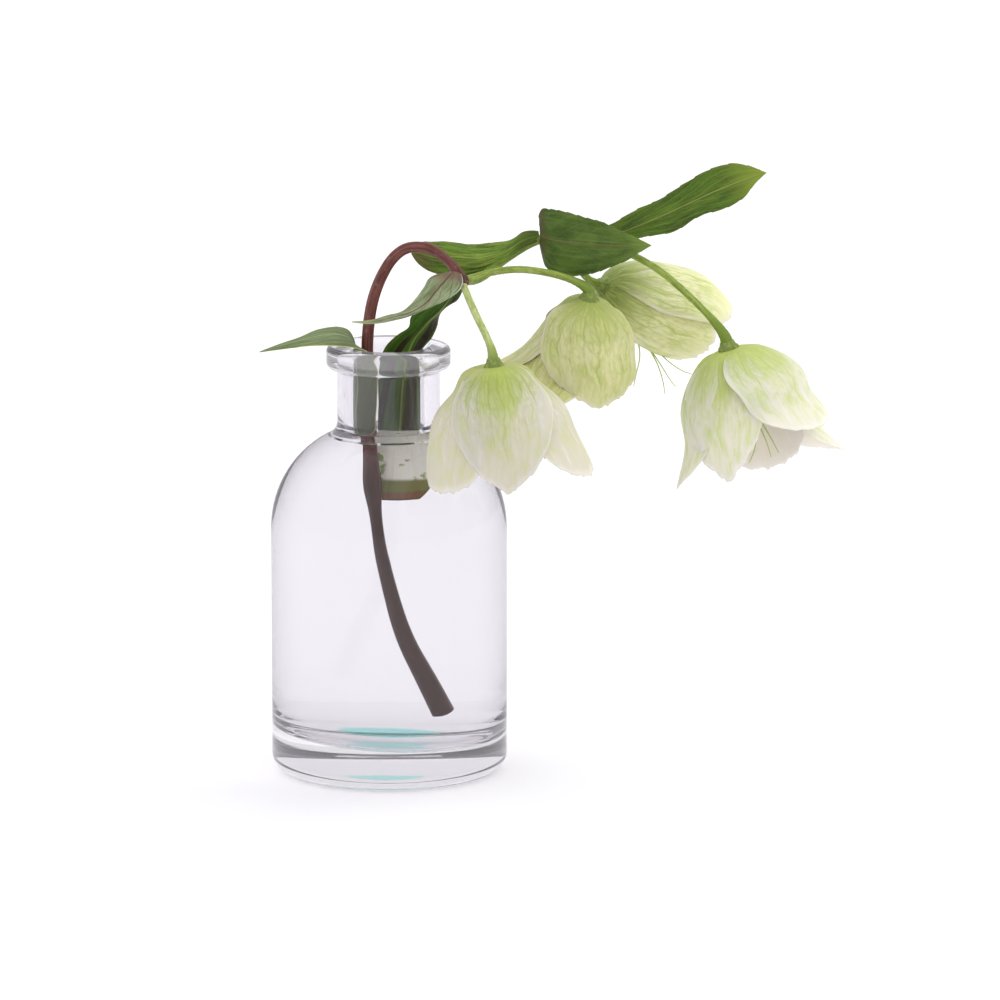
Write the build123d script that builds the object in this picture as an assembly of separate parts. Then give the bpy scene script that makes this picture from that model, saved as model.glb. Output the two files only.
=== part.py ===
from build123d import *
import os
from math import cos, log, pi, radians, sin, tan

# A clear glass bud vase with a thick base and a rolled lip, holding one cut hellebore sprig:
# a bent stem with its bracts, and four nodding flowers on their own pedicels.
# Millimetres, +Z up. The origin is the centre of the bottle's underside and +Z is its axis.

# ---- glass bottle --------------------------------------------------------------------------
BODY_RADIUS = 29.0
HEIGHT = 106.0
NECK_RADIUS = 12.6
BORE_RADIUS = 8.8
LIP_RADIUS = 15.25
LIP_HEIGHT = 5.6
WALL = 2.3
FLOOR_Z = 8.3
PUNT_RISE = 1.1
PUNT_RADIUS = 19.0
FOOT_INNER_RADIUS = 22.0
HEEL_RADIUS = 4.2
SHOULDER_RADIUS = 25.8
SHOULDER_SLOPE = 25.3  # degrees, where the shoulder runs into the neck
SHOULDER_TOP_Z = 84.9  # where the sloping shoulder line would meet the neck line
SHOULDER_WALL = 2.6

# ---- sprig ---------------------------------------------------------------------------------
STEM_RADIUS = 1.6
STEM_FOOT_RADIUS = 2.3
BRANCH_RADIUS = 1.1
PEDICEL_RADIUS = 0.95
NODE_RADIUS = 2.1
UPPER_NODE_RADIUS = 1.8
JOINT_GAP = 0.4  # between a pedicel and the stem node it nods on
LEAF_THICKNESS = 0.6
LEAF_END_WIDTH = 1.2

STEM_ROUTE = [
    (6.9, 0, 23.6), (2.6, 0, 34.5), (-0.2, 0, 48), (-2.3, 0, 63), (-3.1, 0, 79), (-4.4, 0, 94),
    (-4.7, -0.3, 108), (-2.6, -1.6, 120), (2.6, -4.2, 130.2), (9.6, -8, 131.9), (15.6, -12, 128.4),
]
STEM_FOOT = (10.0, 0, 15.2)
LOWER_NODE = (18.0, -14.0, 124.2)
UPPER_NODE = (46.8, 2.0, 128.6)
BRANCH_ROUTE = [(22.4, -5.4, 123.0), (27.0, 0.4, 126.2), (36.4, 1.6, 132.2), (42.0, 1.8, 132.0)]

# ---- flowers -------------------------------------------------------------------------------
SEPALS = 5
SEPAL_THICKNESS = 0.8
SEPAL_SECTOR = 71.0  # degrees of the bell that one sepal covers
BELL_THROAT = 1.8  # radius where the sepals join the receptacle
RECEPTACLE_TOP = 1.5
DISC_RADIUS = 3.2
DISC_TOP_DEPTH = 2.3
DISC_DEPTH = 3.3
STRAIGHT_END = 5.0  # the last stretch of each pedicel, in line with its flower

FLOWERS = [
    dict(base=(25.9, -37, 107.2), mouth=(29.4, -37, 76.4), radius=19.3, turn=20,
         node=LOWER_NODE, node_radius=NODE_RADIUS, route=[(21.2, -23, 117.9)]),
    dict(base=(49.0, -7, 118.6), mouth=(44.6, -2, 93.4), radius=15.5, turn=50,
         node=LOWER_NODE, node_radius=NODE_RADIUS,
         route=[(24.8, -13, 126.2), (31.5, -12.4, 127.0), (38.5, -11.6, 126.0)]),
    dict(base=(52.9, 17, 117.6), mouth=(77.0, 29, 105.6), radius=15.5, turn=0,
         node=UPPER_NODE, node_radius=UPPER_NODE_RADIUS, route=[(46.2, 9.2, 124.2)]),
    dict(base=(83.0, -10, 106.6), mouth=(90.6, -10, 78.4), radius=18.0, turn=35,
         node=UPPER_NODE, node_radius=UPPER_NODE_RADIUS,
         route=[(54.5, 0.6, 130.0), (62.0, -1.2, 127.6), (70.0, -4.6, 122.4)]),
]


def bottle():
    """One blown shell, turned about Z: foot, wall, shoulder, neck, lip and the bore inside."""
    rise = tan(radians(SHOULDER_SLOPE))
    drop = SHOULDER_WALL / cos(radians(SHOULDER_SLOPE))
    inner_radius = BODY_RADIUS - WALL
    lip_underside = HEIGHT - LIP_HEIGHT

    def shoulder_z(radius, below=0.0):
        return SHOULDER_TOP_Z - below - rise * (radius - NECK_RADIUS)

    corners = [  # radius, height, rounding
        (0, PUNT_RISE, None),
        (PUNT_RADIUS, PUNT_RISE, 6.0),
        (FOOT_INNER_RADIUS, 0, 0.8),
        (BODY_RADIUS, 0, HEEL_RADIUS),
        (BODY_RADIUS, shoulder_z(BODY_RADIUS), SHOULDER_RADIUS),
        (NECK_RADIUS, shoulder_z(NECK_RADIUS), 4.0),
        (NECK_RADIUS, lip_underside, 0.9),
        (LIP_RADIUS, lip_underside, 1.5),
        (LIP_RADIUS, HEIGHT, 1.5),
        (BORE_RADIUS, HEIGHT, 1.9),
        (BORE_RADIUS, shoulder_z(BORE_RADIUS, drop), 3.0),
        (inner_radius, shoulder_z(inner_radius, drop), SHOULDER_RADIUS - WALL),
        (inner_radius, FLOOR_Z, 5.0),
        (0, FLOOR_Z, None),
    ]
    roundings = [rounding for _, _, rounding in corners if rounding is not None]
    outline = FilletPolyline([(r, z) for r, z, _ in corners], radius=roundings)
    axis_line = Line((0, FLOOR_Z), (0, PUNT_RISE))
    return revolve(Plane.XZ * make_face(Curve() + [outline, axis_line]), Axis.Z)


def bend_radii(route):
    """The largest arc that each corner of a route leaves room for."""
    radii = []
    for before, corner, after in zip(route, route[1:], route[2:]):
        arriving = Vector(corner) - Vector(before)
        leaving = Vector(after) - Vector(corner)
        half_turn = radians(arriving.get_angle(leaving)) / 2
        radii.append(0.45 * min(arriving.length, leaving.length) / tan(half_turn))
    return radii


def tube(route, radius):
    """A round stem along straight runs joined by tangent arcs."""
    if len(route) == 2:
        path = Line(*route)
    else:
        path = FilletPolyline(route, radius=bend_radii(route))
    start = Vector(route[0])
    section = Plane(origin=start, z_dir=Vector(route[1]) - start) * Circle(radius)
    return sweep(section, path=path)


def ball(centre, radius):
    return Pos(*centre) * Sphere(radius)


def main_stem():
    """The cut stem: a stout slanted foot, the long curve, the arch and the lower node."""
    foot, above = Vector(STEM_FOOT), Vector(STEM_ROUTE[0])
    foot_plane = Plane(origin=foot, z_dir=above - foot)
    taper = Solid.make_cone(STEM_FOOT_RADIUS, STEM_RADIUS, (above - foot).length, foot_plane)
    return tube(STEM_ROUTE + [LOWER_NODE], STEM_RADIUS) + taper + ball(LOWER_NODE, NODE_RADIUS)


def branch(stem):
    """The side branch that carries the two outer flowers, from the lower to the upper node."""
    route = [LOWER_NODE] + BRANCH_ROUTE + [UPPER_NODE]
    return tube(route, BRANCH_RADIUS) + ball(UPPER_NODE, UPPER_NODE_RADIUS) - stem


def leaf(spine, half_width, widest, across):
    """A thin blade: flat sections along its spine, widest at that share of its length."""
    steepness = log(0.5) / log(widest)
    sections = []
    for i, point in enumerate(spine):
        along = Vector(spine[min(i + 1, len(spine) - 1)]) - Vector(spine[max(i - 1, 0)])
        along = along.normalized()
        side = Vector(across) - along * along.dot(Vector(across))
        share = i / (len(spine) - 1)
        width = max(LEAF_END_WIDTH, 2 * half_width * sin(pi * share ** steepness))
        plane = Plane(origin=point, x_dir=side, z_dir=along)
        sections.append((plane * Rectangle(width, LEAF_THICKNESS)).wire())
    return Part(Solid.make_loft(sections, ruled=True).wrapped)


LEAVES = {
    "leaf_over_rim": dict(
        spine=[(-5.0, -2.5, 83.5), (-5.6, -2.7, 90), (-6.2, -2.6, 98), (-7.2, -0.6, 106),
               (-11.0, -1.4, 109.9), (-17.5, -5.4, 110.6), (-24, -9.4, 109.2), (-30.5, -13, 107)],
        half_width=3.3, widest=0.42, across=(0.4, -1, -0.1)),
    "bract_pale": dict(
        spine=[LOWER_NODE, (12.6, -17.0, 121.3), (6.7, -17.4, 117.6), (-0.6, -16, 115), (-7.4, -14, 113.6)],
        half_width=4.4, widest=0.35, across=(-0.5, -0.3, 1)),
    "leaf_in_neck": dict(
        spine=[LOWER_NODE, (14.4, -6.0, 119), (9.0, -0.2, 112.4), (3.6, 2.0, 106.4), (2.4, 3.1, 98),
               (2.2, 3.4, 88), (2.1, 3.4, 79), (2.0, 3.4, 70)],
        half_width=4.8, widest=0.6, across=(1, 0.1, 0.2)),
    "leaf_long": dict(
        spine=[(6.6, -1.6, 129.2), (12, -1.8, 128.2), (19, -2.0, 127.9), (26, -1.9, 128.4),
               (31.5, -1.0, 130.4), (35.8, 1.2, 132)],
        half_width=4.0, widest=0.42, across=(0, 0.25, 1)),
    "bract_broad": dict(
        spine=[(37.4, 1.2, 132.2), (39.6, -3.6, 132.2), (47, -6.2, 132.4), (55, -7, 132.6), (63.2, -7, 132.6)],
        half_width=6.7, widest=0.3, across=(0, 0.4, 1)),
    "leaf_top": dict(
        spine=[UPPER_NODE, (49.6, 4.2, 132.2), (56, 5.4, 135.2), (65, 6.4, 138.6), (75, 7.2, 142.6),
               (84, 8, 146), (91, 8, 147.4)],
        half_width=4.8, widest=0.55, across=(-0.35, 0.3, 1)),
}


def bell_frame(flower):
    """The frame of one flower: its origin where the sepals start, its mouth towards -Z."""
    base, mouth = Vector(flower["base"]), Vector(flower["mouth"])
    return Plane(origin=base, z_dir=base - mouth)


def bell_length(flower):
    return (Vector(flower["base"]) - Vector(flower["mouth"])).length


def sepal(flower, index):
    """One fifth of the bell's thin wall, with a rounded tip, ready to turn into its place."""
    length, radius, wall = bell_length(flower), flower["radius"], SEPAL_THICKNESS

    def side(inset):
        dome = ThreePointArc((BELL_THROAT, -inset),
                             (0.66 * radius - 0.7 * inset, -0.17 * length - 0.7 * inset),
                             (0.93 * radius - inset, -0.48 * length))
        skirt = Line(dome @ 1, (radius - inset, -length))
        return dome, skirt

    dome, skirt = side(0)
    inner_dome, inner_skirt = side(wall)
    rims = [Line(skirt @ 1, inner_skirt @ 1), Line(dome @ 0, inner_dome @ 0)]
    section = Plane.XZ * make_face(Curve() + [dome, skirt, inner_dome, inner_skirt] + rims)
    sector = Rot(0, 0, -SEPAL_SECTOR / 2) * revolve(section, Axis.Z, SEPAL_SECTOR)
    waist = 0.55 * length
    outline = Pos(0, 1 - waist / 2) * Rectangle(4 * radius, waist + 2)
    outline += Pos(0, -waist) * Ellipse(0.62 * radius, length - waist)
    petal = sector & extrude(Plane.YZ * outline, 2 * radius)
    return Rot(0, 0, flower["turn"] + index * 360 / SEPALS) * petal


def receptacle():
    """The green button that joins the pedicel, the sepals and the organs inside."""
    corners = [(0, RECEPTACLE_TOP), (1.2, RECEPTACLE_TOP), (BELL_THROAT, 0),
               (BELL_THROAT, -SEPAL_THICKNESS), (DISC_RADIUS, -DISC_TOP_DEPTH),
               (DISC_RADIUS, -DISC_DEPTH), (0, -DISC_DEPTH)]
    return revolve(Plane.XZ * make_face(Polyline(corners, close=True)), Axis.Z)


def hanging_rod(top_radius, end_radius, length, depth=DISC_DEPTH):
    """A tapered rod that hangs from the given depth below the flower's base."""
    plane = Plane(origin=(0, 0, -depth), z_dir=(0, 0, -1))
    if top_radius == end_radius:
        return plane * Cylinder(top_radius, length, align=(Align.CENTER, Align.CENTER, Align.MIN))
    return plane * Cone(top_radius, end_radius, length, align=(Align.CENTER, Align.CENTER, Align.MIN))


def ring(makers, radius):
    """Pieces spaced evenly on a circle about the flower's axis."""
    return Compound([Rot(0, 0, i * 360 / len(makers)) * Pos(radius, 0, 0) * piece
                     for i, piece in enumerate(makers)])


def nectaries():
    return ring([hanging_rod(0.4, 0.6, 4.0) for _ in range(9)], 2.5)


def stamens():
    """Filaments of two lengths in turn, each with a round anther."""
    pieces = []
    for i in range(12):
        reach = 8.5 if i % 2 else 11.0
        pieces.append(hanging_rod(0.22, 0.22, reach) + Pos(0, 0, -DISC_DEPTH - reach) * Sphere(0.6))
    return ring(pieces, 1.6)


def carpels():
    """Three pods, each drawn out into a long style."""
    pod, style = 6.5, 8.0
    return ring([hanging_rod(0.5, 0.35, pod) + hanging_rod(0.24, 0.24, style, DISC_DEPTH + pod)
                 for _ in range(3)], 0.72)


def pedicel(flower):
    """The flower's own stalk, from just clear of its stem node to its receptacle."""
    frame = bell_frame(flower)
    end = frame.origin + frame.z_dir * RECEPTACLE_TOP
    bend = frame.origin + frame.z_dir * (RECEPTACLE_TOP + STRAIGHT_END)
    node, first = Vector(flower["node"]), Vector(flower["route"][0])
    start = node + (first - node).normalized() * (flower["node_radius"] + JOINT_GAP)
    return tube([start] + [Vector(p) for p in flower["route"]] + [bend, end], PEDICEL_RADIUS)


def model():
    """Every node of the part, by name."""
    stem = main_stem()
    side_branch = branch(stem)
    nodes = {"glass_bottle": bottle(), "main_stem": stem, "side_branch": side_branch}
    for name, shape in LEAVES.items():
        nodes[name] = leaf(**shape) - stem - side_branch
    for number, flower in enumerate(FLOWERS, start=1):
        place = bell_frame(flower).location
        nodes[f"pedicel_{number}"] = pedicel(flower)
        for name, maker in [("receptacle", receptacle), ("nectaries", nectaries),
                            ("stamens", stamens), ("carpels", carpels)]:
            nodes[f"{name}_{number}"] = place * maker()
        for index in range(SEPALS):
            nodes[f"sepal_{number}_{index + 1}"] = place * sepal(flower, index)
    return nodes


os.makedirs("parts", exist_ok=True)
for node_name, solid in model().items():
    export_step(solid, f"parts/{node_name}.step")
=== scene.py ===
from math import cos, pi, radians, sin, tan

import bmesh
import bpy
import numpy as np
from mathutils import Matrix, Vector


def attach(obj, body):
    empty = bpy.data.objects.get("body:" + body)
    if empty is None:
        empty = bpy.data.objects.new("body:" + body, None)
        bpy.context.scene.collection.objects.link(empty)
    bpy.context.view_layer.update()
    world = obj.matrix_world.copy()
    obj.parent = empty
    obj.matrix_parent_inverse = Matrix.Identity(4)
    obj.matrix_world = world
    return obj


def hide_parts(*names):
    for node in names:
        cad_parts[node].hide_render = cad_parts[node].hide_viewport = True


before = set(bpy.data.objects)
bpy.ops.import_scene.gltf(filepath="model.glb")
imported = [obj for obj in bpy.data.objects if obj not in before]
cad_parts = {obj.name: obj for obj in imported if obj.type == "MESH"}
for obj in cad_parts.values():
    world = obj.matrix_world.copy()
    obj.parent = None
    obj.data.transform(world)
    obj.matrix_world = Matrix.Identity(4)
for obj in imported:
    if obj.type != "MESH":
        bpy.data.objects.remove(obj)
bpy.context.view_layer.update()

MM = 0.001
SEED = 81
rng = np.random.default_rng(SEED)

# ---- glass bottle and its water, mm; the outside and the bore are as in the CAD ----
BODY_RADIUS = 29.0
HEIGHT = 106.0
NECK_RADIUS = 12.6
BORE_RADIUS = 8.8
LIP_RADIUS = 15.25
LIP_HEIGHT = 5.6
WALL = 2.3
FLOOR_Z = 8.3
PUNT_RISE = 1.1
PUNT_RADIUS = 19.0
FOOT_INNER_RADIUS = 22.0
HEEL_RADIUS = 4.2
SHOULDER_RADIUS = 25.8
SHOULDER_SLOPE = 25.3
SHOULDER_TOP_Z = 84.9
SHOULDER_WALL = 2.6
BORE_SPLIT_Z = 95.0  # where the outside's outline hands over to the inside's
WELD_DISTANCE = 1e-6
LATHE_STEPS = 256
WATER_STEPS = 128
BODY, NECK, HEEL, FOOT, AT_WATER, LIP = range(6)  # the order of the bottle's materials
WATER_Z = 84.4
WATER_GAP = 0.03  # keeps the water's clear sides just off the glass
MENISCUS = 0.9
MENISCUS_REACH = 1.3
HEEL_TOP_Z = 12.0  # the glass below this is the thick foot
FLOOR_TILT = -0.045  # the inside floor stands a little higher on the left
FLOOR_DISH = 0.0022  # and rises a little towards the wall
FLOOR_REACH = 7.0  # how far up the wall that still shows

# ---- sprig, mm; the nodes are as in the CAD and the stem is up to 0.9 mm left of its CAD line ----
STEM_SHARES = [0, 0.05, 0.15, 0.28, 0.36, 0.39, 0.43, 0.5, 0.62, 0.75, 0.9, 0.98, 1.0]
STEM_RADII = [2.15, 2.0, 1.62, 1.28, 1.25, 1.75, 1.5, 1.4, 1.45, 1.42, 1.3, 1.35, 1.8]
STEM_ROUTE = [
    (10.0, 0, 15.2), (6.9, 0, 23.6), (2.6, 0, 34.5), (-0.2, 0, 48), (-2.6, 0, 63), (-4.0, 0, 79),
    (-4.9, 0, 94), (-5.3, -0.3, 108), (-3.4, -1.6, 120), (2.2, -4.2, 130.4), (9.4, -8, 132.1),
    (15.6, -12, 128.4), (18.0, -14.0, 124.2),
]
LOWER_NODE = (18.0, -14.0, 124.2)
UPPER_NODE = (46.8, 2.0, 128.6)
BRANCH_ROUTE = [LOWER_NODE, (22.4, -5.4, 123.0), (27.0, 0.4, 126.2), (36.4, 1.6, 132.2),
                (42.0, 1.8, 132.0), UPPER_NODE]

BLADE_THICKNESS = 0.42
RIB_SHARE = 0.07  # half the midrib's width, as a share of half the leaf's width
BLADE_COLUMNS = 61
LEAF_ROWS = 121
LEAF_WAVES = 3.0
VEINS = 5
VEIN_SLANT = 2.6
VEIN_DEPTH = 0.1
SEPAL_ROWS = 56
STALK_RADIUS = 0.85
STALK_START = 0.6  # how far each stalk starts from the middle of its node
GOLDEN_TURN = 2.399  # radians from each stamen to the next

# ---- curves ----


def through(knots, values, at):
    """A cubic curve through the values at the knots, read at the given places."""
    knots, values = np.asarray(knots, float), np.asarray(values, float)
    gaps = np.diff(knots)
    slopes = np.diff(values, axis=0) / gaps[:, None]
    tangents = np.empty_like(values)
    share = gaps[1:, None] / (gaps[:-1] + gaps[1:])[:, None]
    tangents[1:-1] = slopes[:-1] * share + slopes[1:] * (1 - share)
    tangents[0] = 1.5 * slopes[0] - 0.5 * tangents[1]
    tangents[-1] = 1.5 * slopes[-1] - 0.5 * tangents[-2]
    k = np.clip(np.searchsorted(knots, at, side="right") - 1, 0, len(gaps) - 1)
    x, gap = ((at - knots[k]) / gaps[k])[:, None], gaps[k][:, None]
    return ((2 * x**3 - 3 * x**2 + 1) * values[k] + (x**3 - 2 * x**2 + x) * gap * tangents[k]
            + (3 * x**2 - 2 * x**3) * values[k + 1] + (x**3 - x**2) * gap * tangents[k + 1])


def chord_knots(points):
    """How far along its own chords each point is, from 0 to 1."""
    steps = np.linalg.norm(np.diff(np.asarray(points, float), axis=0), axis=1)
    knots = np.concatenate([[0], np.cumsum(steps)])
    return knots / knots[-1]


def arc_length(points):
    return float(np.linalg.norm(np.diff(points, axis=0), axis=1).sum())


def shares(count):
    return np.linspace(0, 1, count)


def full_turn(count):
    return np.linspace(0, 2 * pi, count, endpoint=False)


def uv_grid(u, v):
    return np.stack(np.meshgrid(u, v, indexing="ij"), -1)


def rounded_route(route, count):
    """A smooth line that rounds off a route's corners, evenly divided."""
    route = np.asarray(route, float)
    t = shares(40)[:, None]
    middles = (route[:-1] + route[1:]) / 2
    pieces = [route[0] + (middles[0] - route[0]) * t]
    for before, corner, after in zip(middles, route[1:-1], middles[1:]):
        pieces.append((1 - t)**2 * before + 2 * t * (1 - t) * corner + t**2 * after)
    pieces.append(middles[-1] + (route[-1] - middles[-1]) * t)
    line = np.concatenate([pieces[0]] + [p[1:] for p in pieces[1:]])
    knots = chord_knots(line)
    return np.stack([np.interp(shares(count), knots, line[:, i]) for i in range(3)], 1)


def unit(v):
    return v / np.maximum(np.linalg.norm(v, axis=-1, keepdims=True), 1e-9)


def rings_along(line):
    """Two directions square to a line at each point, carried along without twisting."""
    along = unit(np.gradient(line, axis=0))
    side = np.empty_like(line)
    side[0] = unit(np.cross(along[0], (0, 1, 0.2)))
    for i in range(1, len(line)):
        side[i] = unit(side[i - 1] - along[i] * np.dot(side[i - 1], along[i]))
    return side, np.cross(along, side)


def ring(turn, side, up):
    """Directions around a centre, from the two directions that span the ring."""
    return np.cos(turn)[..., None] * side + np.sin(turn)[..., None] * up


def linked(name, data):
    thing = bpy.data.objects.new(name, data)
    bpy.context.scene.collection.objects.link(thing)
    return thing


# ---- meshes ----


class Sheets:
    """Collects patches of quads, then makes one smooth object of them."""

    def __init__(self):
        self.points, self.faces, self.uvs, self.kinds = [], [], [], []
        self.count = 0

    def patch(self, grid, uv, wrap=False, flip=False, kind=0):
        rows, columns = grid.shape[:2]
        ids = self.count + np.arange(rows * columns).reshape(rows, columns)
        self.points.append(grid.reshape(-1, 3))
        self.count += rows * columns
        right = np.roll(ids, -1, 1) if wrap else ids[:, 1:]
        left = ids if wrap else ids[:, :-1]
        quads = np.stack([left[:-1], right[:-1], right[1:], left[1:]], -1).reshape(-1, 4)
        if flip:
            quads = quads[:, ::-1]
        flat = uv.reshape(-1, 2)
        corner_uv = flat[quads - ids[0, 0]]
        if wrap:
            seam = corner_uv[..., 1].max(1) - corner_uv[..., 1].min(1) > 0.5
            low = corner_uv[..., 1] < 0.5
            corner_uv[..., 1] += seam[:, None] & low
        self.faces.append(quads)
        self.uvs.append(corner_uv.reshape(-1, 2))
        self.kinds.append(np.full(len(quads), kind))
        return ids

    def stitch(self, a, b, uv):
        """Joins two rows of points with the same count."""
        quads = np.stack([a[:-1], a[1:], b[1:], b[:-1]], -1)
        self.faces.append(quads)
        self.uvs.append(np.tile(np.asarray(uv, float), (len(quads) * 4, 1)))
        self.kinds.append(np.zeros(len(quads)))

    def make(self, name, materials):
        points = np.concatenate(self.points) * MM
        faces = np.concatenate(self.faces)
        mesh = bpy.data.meshes.new(name)
        mesh.from_pydata(points.tolist(), [], faces.tolist())
        layer = mesh.uv_layers.new(name="UVMap")
        layer.data.foreach_set("uv", np.concatenate(self.uvs).astype(np.float32).ravel())
        mesh.polygons.foreach_set("material_index", np.concatenate(self.kinds).astype(np.int32))
        for material in materials:
            mesh.materials.append(material)
        mesh.shade_smooth()
        mesh.update()
        return linked(name, mesh)


def add_tube(sheets, line, radii, sides=20, ribs=0, rib_depth=0.0, lumps=0.0):
    """A round, slightly ribbed and lumpy tube along a line, closed at both ends."""
    count = len(line)
    side, up = rings_along(line)
    turn = full_turn(sides)
    radii = np.broadcast_to(np.asarray(radii, float), (count,))
    shape = np.ones((count, sides)) + rib_depth * np.cos(ribs * turn)
    if lumps:
        drift = rng.normal(0, 1, (count, sides))
        drift = (drift + np.roll(drift, 1, 0) + np.roll(drift, -1, 0) + np.roll(drift, 1, 1)) / 2
        shape += lumps * drift
    grid = line[:, None] + (radii[:, None] * shape)[..., None] * ring(turn, side[:, None], up[:, None])
    along = unit(np.gradient(line, axis=0))
    ends = []
    for i, sign in ((0, -1), (-1, 1)):
        for shrink, push in ((0.75, 0.3), (0.35, 0.5), (0.02, 0.55)):
            ends.append(line[i] + (grid[i] - line[i]) * shrink + sign * push * radii[i] * along[i] * 0.6)
    grid = np.concatenate([np.stack(ends[:3][::-1]), grid, np.stack(ends[3:])])
    share = np.concatenate([[0, 0, 0], shares(count), [1, 1, 1]])
    sheets.patch(grid, uv_grid(share, turn / (2 * pi)), wrap=True, flip=True)


def add_hairs(sheets, line, radii, count=260, length=0.42, thickness=0.045):
    """Short fine hairs standing out of a stalk."""
    side, up = rings_along(line)
    along = unit(np.gradient(line, axis=0))
    places = rng.integers(1, len(line) - 1, count)
    turns = rng.uniform(0, 2 * pi, count)
    for i, a in zip(places, turns):
        out = cos(a) * side[i] + sin(a) * up[i]
        lean = unit(out + 0.35 * rng.normal() * along[i] + 0.2 * rng.normal() * up[i])
        foot = line[i] + out * radii[i] * 0.93
        tall = length * rng.uniform(0.5, 1.2)
        across = unit(np.cross(lean, along[i]))
        other = np.cross(lean, across)
        corners = np.stack([across, -0.5 * across + 0.87 * other, -0.5 * across - 0.87 * other])
        rows = np.stack([foot + lean * tall * rise + thickness * width * corners
                         for rise, width in ((0, 1), (0.6, 0.6), (1, 0.1))])
        sheets.patch(rows, np.zeros((3, 3, 2)) + (i / len(line), 0.25), wrap=True)


def add_ball(sheets, centre, radii, axis=(0, 0, 1), steps=8):
    """An egg-shaped ball: radii are across and along its axis."""
    axis = unit(np.asarray(axis, float))
    side = unit(np.cross(axis, (0.3, 1, 0.1)))
    tilt = np.linspace(0.04, pi - 0.04, steps)
    turn = full_turn(2 * steps)
    grid = (np.asarray(centre, float)
            + radii[0] * np.sin(tilt)[:, None, None] * ring(turn, side, np.cross(axis, side))
            + radii[1] * np.cos(tilt)[:, None, None] * axis)
    sheets.patch(grid, uv_grid(tilt / pi, turn / (2 * pi)), wrap=True, flip=True)


def slopes_crossed(grid):
    return np.cross(np.gradient(grid, axis=0), np.gradient(grid, axis=1))


def blade_object(name, grid, across, materials, rib=0.0):
    """A thin leaf or petal around a middle surface, thinner towards its edge, with a rib below."""
    rows = len(grid)
    normal = slopes_crossed(grid)
    size = np.linalg.norm(normal, axis=-1)
    normal = unit(normal)
    for i in range(1, rows):
        weak = size[i] < 2e-3 * size.max()
        normal[i][weak] = normal[i - 1][weak]
    u = shares(rows)[:, None]
    half = 0.5 * BLADE_THICKNESS * (0.3 + 0.7 * (1 - across**6)) * (1 - 0.75 * u**8)
    ridge = rib * np.exp(-(across / RIB_SHARE)**2) * (1 - 0.75 * u)
    uv = uv_grid(u[:, 0], (across + 1) / 2)
    sheets = Sheets()
    top = sheets.patch(grid + normal * half[..., None], uv, kind=0)
    low = sheets.patch(grid - normal * (half + ridge)[..., None], uv, flip=True, kind=1)
    sheets.stitch(top[:, -1], low[:, -1], (0.5, 1.0))
    sheets.stitch(low[:, 0], top[:, 0], (0.5, 0.0))
    sheets.stitch(low[0], top[0], (0.0, 0.5))
    sheets.stitch(top[-1], low[-1], (1.0, 0.5))
    return sheets.make(name, materials)


# ---- materials ----


def rgb(code):
    """A hex colour as linear light."""
    parts = [int(code[i:i + 2], 16) / 255 for i in (0, 2, 4)]
    return tuple(p / 12.92 if p <= 0.04045 else ((p + 0.055) / 1.055)**2.4 for p in parts) + (1.0,)


def tones(codes):
    return [rgb(code) for code in codes.split()]


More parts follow.
